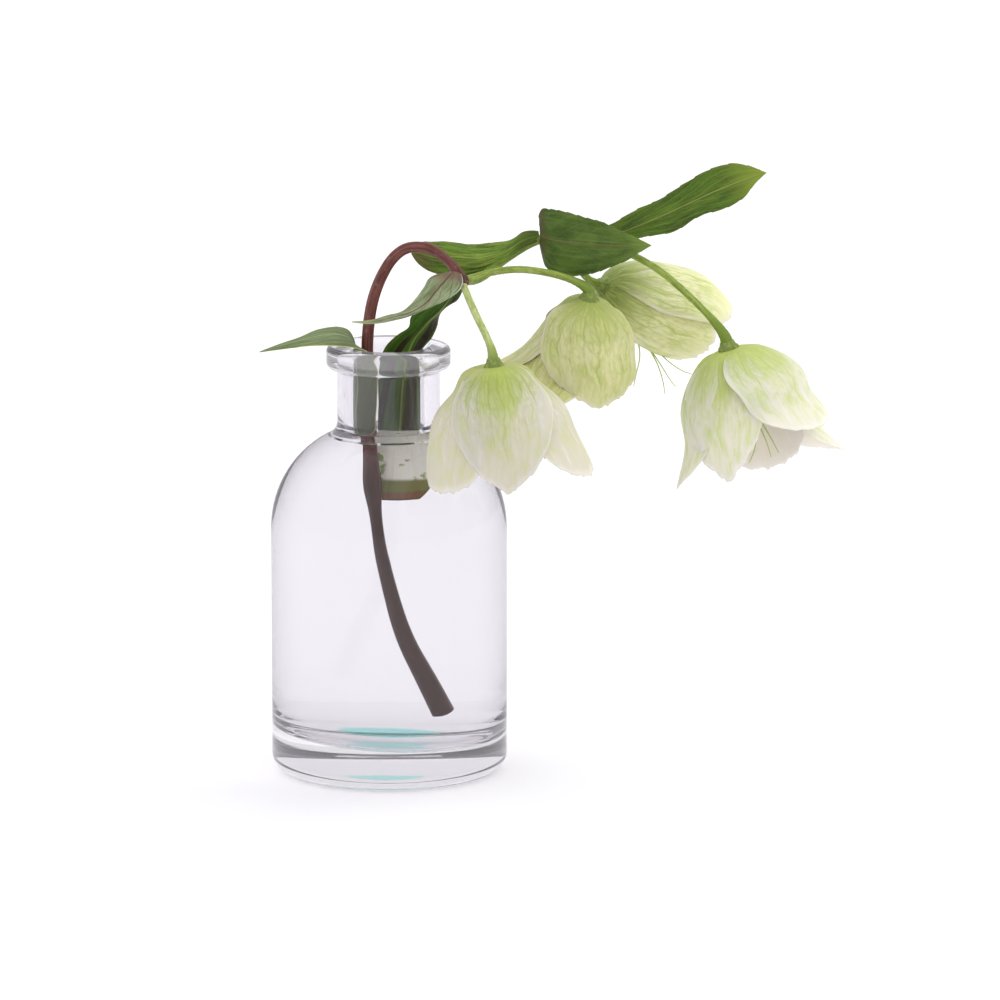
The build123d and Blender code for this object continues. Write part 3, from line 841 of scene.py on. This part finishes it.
LEAF_IN_NECK = [
    ((17.2, -12.6, 124), (18, -12.2, 123.6), (18.8, -12, 123.6)),
    ((11.8, -7.8, 119.2), (14.8, -7.6, 118.4), (16.6, -7.4, 118)),
    ((7.6, -4.8, 116), (12.2, -5, 114.8), (13.6, -3.4, 115.9)),
    ((5.5, -3, 113.3), (10, -3.6, 112.6), (12.4, -1.8, 113.2)),
    ((4.9, -1.6, 110.6), (8.2, -2.2, 110.2), (11.8, -0.4, 110.6)),
    ((2.4, 0.2, 108.6), (6.6, -0.8, 108), (10.6, 0.8, 107.8)),
    ((-0.4, 2.4, 105.6), (5.2, 0.8, 104.8), (8.3, 1.8, 104.6)),
    ((-2.4, 5.2, 100), (4, 2, 99.4), (8.3, 2, 99.8)),
    ((-2.8, 5.4, 90), (3.2, 2.6, 90), (8.3, 2, 90)),
    ((-2.8, 4.8, 83), (2.8, 2.4, 83), (8.2, 2, 83)),
    ((-2.8, 3.6, 76), (2.6, 2, 76), (7.8, 2.2, 76)),
    ((-2.6, 2.4, 70), (2.4, 2, 70), (7.5, 2.4, 70)),
    ((-2.4, 1.9, 66.2), (2.2, 2, 66), (7.1, 2.5, 66.4)),
    ((-2.2, 1.7, 65), (2, 2, 64.8), (5.6, 2.5, 65)),
]
BRACT_PALE = [
    ((14.4, -13.6, 126.2), (16.2, -15, 126.6), (17.9, -16.2, 126.3)),
    ((10.6, -14.4, 125.2), (14.2, -16.6, 124.8), (18.3, -17.4, 124.4)),
    ((8.7, -15, 122.9), (12, -17.4, 122.4), (17.2, -18, 122.3)),
    ((7, -15.2, 120.3), (9.7, -17.6, 119.6), (14, -18, 120.2)),
    ((4.3, -15.2, 117.4), (5.9, -17, 117.1), (8.7, -17.4, 117.4)),
    ((0.2, -14.8, 116), (1.2, -16, 115.5), (2.8, -16.6, 115.2)),
    ((-3.8, -14.2, 114.7), (-3.6, -14.8, 114.3), (-3.2, -15.2, 113.9)),
    ((-8.6, -13.6, 114.2), (-8.7, -13.7, 114.1), (-8.6, -13.8, 114)),
]
LEAF_LONG = [
    ((36.6, 1.6, 134), (36.8, 1.2, 132.8), (36.8, 0.8, 131.6)),
    ((33.2, 0.4, 134), (32.8, -0.6, 131.9), (32.4, -0.8, 129.9)),
    ((29.4, 0.2, 132), (28.8, -1.6, 129.5), (28.2, -1.4, 126.9)),
    ((23.8, 0, 131.1), (23, -2.2, 127.6), (22.5, -1.8, 124.1)),
    ((16.4, 0, 131.3), (15.6, -2.2, 127.6), (15.1, -1.6, 123.4)),
    ((10.8, 0.2, 131.6), (10.4, -1.8, 128.2), (9.8, -1, 124.4)),
    ((7.8, 0.2, 131.4), (7.6, -1.4, 129), (7.2, -1, 126.6)),
    ((5.9, -0.6, 129.4), (5.7, -0.9, 129), (5.7, -0.8, 128.6)),
]
BRACT_BROAD = [
    ((36.8, -1.4, 138.2), (37.2, -2.6, 133.6), (36.8, -1.4, 131.4)),
    ((37.2, -2, 139.7), (38, -3.4, 133.4), (37.5, -1.9, 128.4)),
    ((39, -3.4, 140.3), (40, -5, 133), (38.8, -3, 125.6)),
    ((43.4, -5.6, 139.9), (44.4, -6.8, 132.7), (42.2, -5, 124)),
    ((49.2, -6.4, 138.4), (49.8, -7.8, 132.3), (48.2, -6.2, 124.4)),
    ((53.8, -6.4, 136.8), (55, -7.8, 131.9), (53.6, -6.6, 125.9)),
    ((58, -6.4, 134.8), (59.2, -7.4, 131.8), (58.6, -6.6, 128.4)),
    ((61.6, -6.8, 133.1), (62.4, -7, 131.8), (62, -6.9, 130.4)),
    ((64, -7, 131.9), (64.1, -7, 131.8), (64, -7, 131.7)),
]
LEAF_TOP = [
    ((47.2, 2.6, 130), (47.6, 2.4, 129.4), (48.2, 2.2, 129.2)),
    ((50, 3.8, 133.4), (51.2, 3.6, 131.6), (52.6, 3.4, 130.2)),
    ((54.9, 5, 135.4), (56.6, 4.4, 133), (58.4, 4, 131.2)),
    ((60.8, 6.2, 138.7), (62.4, 5, 135.2), (64, 4.6, 132.1)),
    ((66.3, 7, 141.1), (68, 5.4, 137.6), (69.9, 5, 133.2)),
    ((72.4, 7.4, 144.8), (74.6, 6, 140.6), (76.4, 5.4, 137)),
    ((78.2, 7.8, 148.2), (80.4, 6.6, 143.2), (82.6, 6, 138.8)),
    ((85.3, 8.2, 149.7), (86.4, 7.4, 145.5), (87.6, 6.8, 141.9)),
    ((89.6, 8.4, 148.6), (89.9, 8, 146.7), (89.9, 7.6, 144.8)),
    ((92.4, 8.3, 147.4), (92.5, 8.3, 147.3), (92.5, 8.3, 147.2)),
]

# Each leaf's object, rows, two faces, ripple, fold, what else shapes it, slot and CAD node.
LEAVES = [
    ("leaf_rim_blade", LEAF_OVER_RIM, [GREY_TOP] * 2, 0.2, 0.2, {}, "leaf_grey_green", "leaf_over_rim"),
    ("leaf_neck_blade", LEAF_IN_NECK, [DARK_TOP, DARK_SHADED_LOW], 0.15, 0.5, dict(rib=0.4), "leaf_dark",
     "leaf_in_neck"),
    ("bract_pale_blade", BRACT_PALE, [PALE_TOP] * 2, 0.15, 0.25, {}, "leaf_pale_underside", "bract_pale"),
    ("leaf_long_blade", LEAF_LONG, [LONG_TOP] * 2, 0.3, 0.35, {}, "leaf_green", "leaf_long"),
    ("bract_broad_blade", BRACT_BROAD, [BROAD_TOP] * 2, 0.25, 0.3, dict(teeth=13, tooth=0.22), "leaf_green",
     "bract_broad"),
    ("leaf_top_blade", LEAF_TOP, [GREEN_LOW, GREEN_TOP], 0.35, 0.35, dict(teeth=12, tooth=0.2),
     "leaf_green", "leaf_top"),
]
for name, rows, faces, ripple, fold, form, slot, replaced in LEAVES:
    place(leaf(name, rows, faces, ripple, fold, **form), "sprig", slot, replaced)

# ---- flowers ----


class Flower:
    """One flower's own axes: depth goes from its base towards its mouth, azimuth 0 faces -Y."""

    def __init__(self, base, mouth):
        self.base = np.array(base, float)
        self.axis = unit(np.array(mouth, float) - self.base)
        front = np.array((0, -1.0, 0))
        self.front = unit(front - self.axis * (front @ self.axis))
        self.side = np.cross(self.front, self.axis)

    def at(self, radius, azimuth, depth):
        """Points from their distances to the axis, azimuths in radians and depths."""
        radius, azimuth, depth = np.broadcast_arrays(radius, azimuth, depth)
        return (self.base + radius[..., None] * ring(azimuth, self.front, self.side)
                + depth[..., None] * self.axis)


def sepal(name, flower, azimuth, length, radius, half_width, tip_radius, waist=1.0, widest=0.5,
          swing=0.0, lap=0.4, ripple=0.3, nib=0.6, blunt=2.4, taper=0.55, ragged=0.35, cup=0.0,
          root=0.42, shoulder=0.68, chest=0.91, materials=()):
    """One sepal of the bell: up from the base over the dome, down the skirt to its tip. Root, shoulder
    and chest are shares of the radius on the way down; blunt, taper, nib and ragged shape the tip."""
    knots_rd = np.array([(1.7, 0.0), (root * radius, 0.035 * length), (shoulder * radius, 0.16 * length),
                         (chest * radius, 0.40 * length), (radius * waist, 0.70 * length),
                         (tip_radius, length)])
    profile = through(chord_knots(knots_rd), knots_rd, shares(400))
    arc = chord_knots(profile)
    s = np.sin(np.linspace(-1, 1, BLADE_COLUMNS) * pi / 2)[None, :]
    seed = rng.uniform(0, 2 * pi, 6)
    outline = widest + (1 - widest) * np.maximum(1 - np.abs(s)**(1 / taper), 0)**(1 / blunt)
    torn = (0.5 * np.sin(23 * s + seed[2]) + 0.4 * np.sin(41 * s + seed[3]) + 0.3 * np.sin(67 * s + seed[4]))
    point = np.exp(-(s * half_width / 1.5)**2)
    reach = arc_length(profile)
    outline = outline + (ragged * torn * (1 - s**6) + nib * (point - 0.5)) / reach
    u = shares(SEPAL_ROWS)[:, None] * outline
    r = np.interp(u, arc, profile[:, 0])
    d = np.interp(u, arc, profile[:, 1])
    over = np.maximum(u - 1, 0) * reach / arc_length(profile[-8:])
    r = r + over * (profile[-1, 0] - profile[-8, 0])
    d = d + over * (profile[-1, 1] - profile[-8, 1])
    rise = np.clip(u / widest, 0, 1)
    width = 1.5 + (half_width - 1.5) * np.sin(rise * pi / 2)**1.1
    angle = radians(azimuth) + s * width / np.maximum(r, 2.0) + radians(swing) * u**2
    spread = np.clip(u / 0.25, 0, 1)
    wave = (np.sin(9 * u + 3 * s + seed[0]) + 0.6 * np.sin(17 * u - 5 * s + seed[1]))
    ridge = 0.16 * np.cos(s * pi * 5.0) * (1 - 0.75 * u) * (1 - s**4)
    r = r + (lap * s + cup * s**2 + ripple * np.abs(s)**3 * wave + ridge) * spread
    return blade_object(name, flower.at(r, angle, d), s[0], materials)


def stalk(number, flower, route, node, end_radius, straight, material, body):
    """A pedicel from inside its node's swelling to the back of its flower."""
    start = np.array(node, float)
    start = start + unit(np.array(route[0], float) - start) * STALK_START
    ends = [flower.base - flower.axis * straight, flower.base + flower.axis * 0.2]
    line = rounded_route([start, *route, *ends], 120)
    widening = np.clip((shares(len(line)) - 0.72) / 0.28, 0, 1)**1.8
    radii = STALK_RADIUS + (end_radius - STALK_RADIUS) * widening
    sheets = Sheets()
    add_tube(sheets, line, radii, sides=22, ribs=6, rib_depth=0.06, lumps=0.005)
    add_hairs(sheets, line, radii)
    thing = sheets.make(f"stalk_{number}", [material])
    return place(thing, body, "stem_green", f"pedicel_{number}")


def button(number, flower, end_radius, body):
    """The receptacle: a ribbed dome above the sepals and a disc below them."""
    outline = np.array([(0.05, -2.2), (end_radius * 0.9, -2.1), (end_radius * 1.05, -1.3),
                        (end_radius * 1.35, -0.55), (2.6, 0.0), (2.9, 0.7), (3.1, 2.2), (3.1, 3.2),
                        (2.4, 3.5), (0.05, 3.6)])
    fine = through(chord_knots(outline), outline, shares(60))
    turn = full_turn(60)
    r = np.maximum(fine[:, :1], 0.03) * (1 + 0.05 * np.cos(10 * turn))
    sheets = Sheets()
    sheets.patch(flower.at(r, turn, fine[:, 1:]), uv_grid(shares(60), turn / (2 * pi)), wrap=True)
    thing = sheets.make(f"button_{number}", [BUTTON])
    return place(thing, body, "receptacle_green", f"receptacle_{number}")


def organs(number, flower, body, styles=()):
    """Nectar cups, stamens and carpels inside the bell."""
    sheets = Sheets()
    for a in full_turn(9):
        t = shares(10)
        add_tube(sheets, flower.at(2.5 + 1.1 * t**1.5, a, 2.6 + 4.6 * t), 0.35 + 0.45 * t, sides=12)
    place(sheets.make(f"nectar_cups_{number}", [NECTARY]), body, "nectary_green", f"nectaries_{number}")
    sheets = Sheets()
    for k in range(36):
        t = shares(12)
        height = 7.5 + 3.6 * ((k * 0.618) % 1.0)
        lean = 1.0 + 1.9 * ((k * 0.381) % 1.0)
        line = flower.at(0.9 + lean * t**1.4 * 1.3, GOLDEN_TURN * k + 0.3 * t, 3.0 + height * t)
        add_tube(sheets, line, 0.14, sides=6)
        add_ball(sheets, line[-1], (0.42, 0.62), line[-1] - line[-2], steps=6)
    place(sheets.make(f"filaments_{number}", [STAMEN]), body, "stamen_cream", f"stamens_{number}")
    sheets = Sheets()
    for a in full_turn(3) + 0.4:
        t = shares(24)
        pod = np.where(t < 0.35, 0.55 + 0.2 * np.sin(t / 0.35 * pi), 0.22)
        add_tube(sheets, flower.at(0.75 + 0.5 * t**2, a, 3.0 + 15.0 * t), pod, sides=10)
    for path in styles:
        add_tube(sheets, rounded_route(path, 40), np.linspace(0.26, 0.10, 40), sides=8)
    place(sheets.make(f"pods_{number}", [STYLE]), body, "style_green", f"carpels_{number}")


# Each sepal is its azimuth, length, radius, half width and tip radius, then what else shapes it.
FLOWERS = [
    dict(base=(25.9, -37, 107.2), mouth=(29.4, -37, 76.4), node=LOWER_NODE,
         route=[(21.2, -23, 117.9)], end_radius=1.7, straight=5.0, skin=STALK_PALE,
         faces=[CREAM, CREAM_IN], form=dict(shoulder=0.56, chest=0.86),
         sepals=[
             (4, 27.4, 18.8, 14.5, 17.6, dict(nib=1.2, blunt=1.6, taper=0.62, lap=0.2, widest=0.42,
              swing=-2, materials=[CREAM_HEART, CREAM_IN])),
             (66, 27.4, 17.8, 12.5, 21.4, dict(waist=1.02, blunt=2.8, taper=0.5, swing=4, widest=0.6,
              lap=0.1, nib=0.2)),
             (142, 25.5, 16.6, 13.5, 15.2, {}),
             (-146, 27, 17.6, 14.0, 18.0, dict(shoulder=0.50, chest=0.83)),
             (-56, 27.2, 18.2, 15.5, 18.8, dict(blunt=3.2, taper=0.4, lap=-0.3, swing=-4, nib=0.1,
              shoulder=0.53, chest=0.85)),
         ]),
    dict(base=(49.0, -7, 118.6), mouth=(44.6, -2, 93.4), node=LOWER_NODE,
         route=[(24.8, -13, 126.2), (31.5, -12.4, 127.0), (38.5, -11.6, 126.0), (44.9, -9.6, 123.9)],
         end_radius=1.7, straight=2.4, skin=STALK_GREEN, faces=[LIME, LIME_IN],
         form=dict(root=0.33, shoulder=0.62, chest=0.86),
         sepals=[
             (14, 23.0, 14.8, 17.0, 13.6, dict(blunt=1.7, taper=0.66, lap=0.35, swing=15, ripple=0.6,
              nib=0.8, ragged=0.6)),
             (-44, 26.2, 14.0, 14.0, 20.0, dict(blunt=2.6, lap=-0.3, ragged=0.5, shoulder=0.52,
              chest=0.74)),
             (-112, 24.0, 14.2, 13.0, 21.5, dict(shoulder=0.50, chest=0.72)),
             (172, 20.0, 13.4, 12.0, 15.0, dict(shoulder=0.50, chest=0.74)),
             (100, 18.0, 13.2, 11.0, 11.5, dict(shoulder=0.56, chest=0.82)),
         ]),
    dict(base=(52.9, 17, 117.6), mouth=(77.0, 29, 105.6), node=UPPER_NODE,
         route=[(46.2, 9.2, 124.2)], end_radius=1.6, straight=5.0, skin=STALK_GREEN,
         faces=[LIME_PAINTED_LIT, LIME_IN], form=dict(shoulder=0.70, chest=0.92),
         sepals=[
             (-8, 29.5, 11.2, 13.4, 9.6, dict(blunt=3.0, taper=0.5, lap=0.5, ripple=0.6, ragged=0.9,
              nib=0.2)),
             (68, 33.0, 12.2, 12.0, 9.0, dict(blunt=2.6, lap=-0.6, taper=0.5, ragged=0.3, nib=0.2)),
             (132, 28.0, 11.4, 11.0, 10.0, {}),
             (-154, 22.0, 10.4, 10.0, 10.4, {}),
             (-92, 20.0, 9.8, 9.0, 10.0, dict(ripple=0.5)),
         ]),
    dict(base=(83.0, -10, 106.6), mouth=(90.6, -10, 78.4), node=UPPER_NODE,
         route=[(54.5, 0.6, 130.0), (62.0, -1.2, 127.6), (70.0, -4.6, 122.4)], end_radius=1.9,
         straight=5.0, skin=STALK_GREEN, faces=[CREAM_SUNNY, CREAM_IN],
         form=dict(shoulder=0.66, chest=0.92),
         sepals=[
             (-20, 29.0, 16.6, 13.0, 15.0, dict(nib=1.2, blunt=1.5, taper=0.72, swing=-12, ragged=0.7,
              lap=-0.1)),
             (52, 21.5, 17.6, 15.0, 22.0, dict(blunt=2.4, nib=0.1, taper=0.5, lap=-0.6, ragged=0.3,
              cup=-0.4)),
             (120, 33.0, 16.4, 18.0, 22.5, dict(blunt=3.4, nib=0.1, taper=0.42, ragged=0.4)),
             (172, 34.0, 16.0, 15.0, 15.6, dict(blunt=2.6, ragged=0.5, nib=0.1, taper=0.5)),
             (-70, 29.0, 16.4, 12.5, 21.0, dict(nib=1.4, blunt=1.8, taper=0.62, swing=-10, ragged=0.2)),
         ]),
]
STYLES = {
    3: [[(57, 18.5, 113), (61, 20, 105), (62.2, 20, 100), (61.0, 20, 95), (60.4, 20, 92)],
        [(57, 18.5, 113), (61.5, 20, 105), (65.6, 20, 99.5), (67.6, 20, 94), (68.2, 20, 90)],
        [(57, 18.5, 113), (62, 20, 105), (66.4, 20, 98.6), (69.8, 20, 93), (70.8, 20, 92)],
        [(57, 18.5, 113), (63, 20, 104.5), (68, 20, 99), (72, 20, 96), (75, 20, 95)]],
    4: [[(87.4, -9, 96), (90.6, -7, 89), (93.4, -7, 84.4), (95.4, -7, 80.5)],
        [(87.4, -9, 96), (90.4, -8, 88), (92.4, -8, 83.4), (93.6, -8, 79.6)],
        [(87.2, -9, 96), (89.2, -8, 88), (90.0, -8, 82.4), (88.2, -8, 78.2)]],
}

for number, spec in enumerate(FLOWERS, 1):
    body = f"flower_{number}"
    flower = Flower(spec["base"], spec["mouth"])
    stalk(number, flower, spec["route"], spec["node"], spec["end_radius"], spec["straight"],
          spec["skin"], body)
    button(number, flower, spec["end_radius"], body)
    organs(number, flower, body, styles=STYLES.get(number, ()))
    slot = "sepal_cream" if number in (1, 4) else "sepal_green"
    for k, (*size, shape) in enumerate(spec["sepals"], 1):
        shape = {"materials": spec["faces"], **spec["form"], **shape}
        place(sepal(f"petal_{number}_{k}", flower, *size, **shape), body, slot, f"sepal_{number}_{k}")

# ---- floor, light and camera ----

FLOOR_SIZE = 24.0
FLOOR_DROP = 0.0001  # keeps the floor just under the foot
HORIZON = (0.84, 0.83, 0.85, 1)
OVERHEAD = (1.0, 1.0, 1.02, 1)
OVERHEAD_FROM = 0.6
LIGHT_TARGET = Vector((0.02, 0, 0.07))
SENSOR_WIDTH = 36
VIEW_ELEVATION = 11.3
VIEW_DISTANCE = 1.8
VIEW_TARGET = Vector((0.0273, 0, 0.0673))
VIEW_WIDTH = 0.2457

mesh = bpy.data.meshes.new("floor")
h = FLOOR_SIZE / 2
mesh.from_pydata([(-h, -h, 0), (h, -h, 0), (h, h, 0), (-h, h, 0)], [], [(0, 1, 2, 3)])
g = Graph("floor_paper")
grain = g.noise(g.object_space(), 350.0, 3, 0.6)
tone = g.lay(rgb("f8f7f9"), rgb("f3f2f5"), grain, 0.25)
mesh.materials.append(g.principled(Base_Color=tone, Roughness=0.7, Specular_IOR_Level=0.2))
floor = linked("floor", mesh)
floor.location.z = -FLOOR_DROP

world = bpy.data.worlds.new("studio")
bpy.context.scene.world = world
g = Graph("studio", world, "ShaderNodeOutputWorld")
height = g.split(g.node("ShaderNodeTexCoord").outputs["Generated"])[2]
ramp = g.node("ShaderNodeValToRGB", {0: height})
horizon, overhead = ramp.color_ramp.elements
horizon.position, horizon.color = 0.0, HORIZON
overhead.position, overhead.color = OVERHEAD_FROM, OVERHEAD
g.surface(g.node("ShaderNodeBackground", {0: ramp.outputs[0], 1: 1.0}))


def softbox(name, location, size, watts):
    light = bpy.data.lights.new(name, "AREA")
    light.shape = "RECTANGLE"
    light.size, light.size_y = size
    light.energy = watts
    lamp = linked(name, light)
    lamp.location = location
    lamp.visible_glossy = False
    lamp.rotation_euler = (LIGHT_TARGET - Vector(location)).to_track_quat("-Z", "Y").to_euler()


softbox("key", (1.3, 0.2, 1.5), (1.3, 1.3), 17)
softbox("fill", (-1.0, -1.3, 1.1), (1.2, 1.2), 3.5)

camera_data = bpy.data.cameras.new("camera")
camera_data.sensor_width = SENSOR_WIDTH
camera_data.lens = SENSOR_WIDTH * VIEW_DISTANCE / VIEW_WIDTH
camera_data.clip_start, camera_data.clip_end = 0.05, 60
camera_data.dof.use_dof = False
camera = linked("camera", camera_data)
tilt = radians(VIEW_ELEVATION)
camera.location = VIEW_TARGET + VIEW_DISTANCE * Vector((0, -cos(tilt), sin(tilt)))
camera.rotation_euler = (VIEW_TARGET - camera.location).to_track_quat("-Z", "Y").to_euler()
bpy.context.scene.camera = camera
bpy.context.scene.view_settings.view_transform = "Standard"
